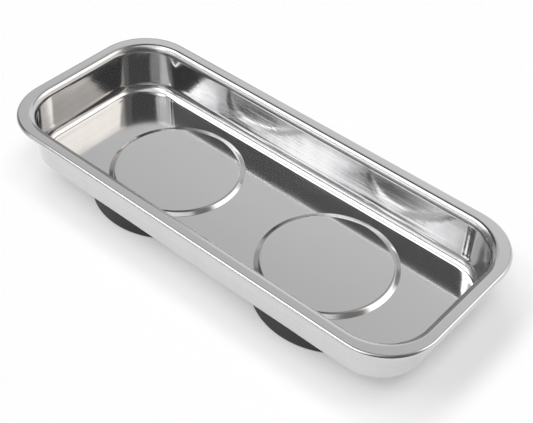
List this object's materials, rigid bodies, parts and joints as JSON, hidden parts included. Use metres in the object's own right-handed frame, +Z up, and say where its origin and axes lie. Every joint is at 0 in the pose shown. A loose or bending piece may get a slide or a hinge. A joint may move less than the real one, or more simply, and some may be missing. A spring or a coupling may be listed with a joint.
{
  "type": "magnetic parts tray",
  "caption": "Long stainless parts tray with a curled rim, rounded corners and round raised plateaus over rubber-covered magnet bases.",
  "frame": {"origin": "on the surface that the tray stands on, under the middle of the tray", "axes": "+X along the tray's length, +Y across it, +Z up out of the tray"},
  "size_m": [0.24, 0.102, 0.0394],
  "materials": {
    "polished_stainless": "polished nearly to a mirror, with fine drawing streaks on the walls",
    "black_rubber": "moulded, matte",
    "ferrite": "ground, dull dark grey",
    "zinc_steel": "bright zinc plated",
    "plain_steel": "plain, lightly oiled",
    "dark_steel": "spring steel, darkened"
  },
  "bodies": {
    "root": {"tray": "polished_stainless", "left_weld_stud": "zinc_steel", "right_weld_stud": "zinc_steel", "left_pole_plate": "plain_steel", "right_pole_plate": "plain_steel", "left_ring_magnet": "ferrite", "right_ring_magnet": "ferrite", "left_spacer_bush": "plain_steel", "right_spacer_bush": "plain_steel", "left_rubber_boot": "black_rubber", "right_rubber_boot": "black_rubber", "left_clamp_cup": "zinc_steel", "right_clamp_cup": "zinc_steel", "left_spring_washer": "dark_steel", "right_spring_washer": "dark_steel", "left_hex_nut": "zinc_steel", "right_hex_nut": "zinc_steel"}
  },
  "joints": []
}
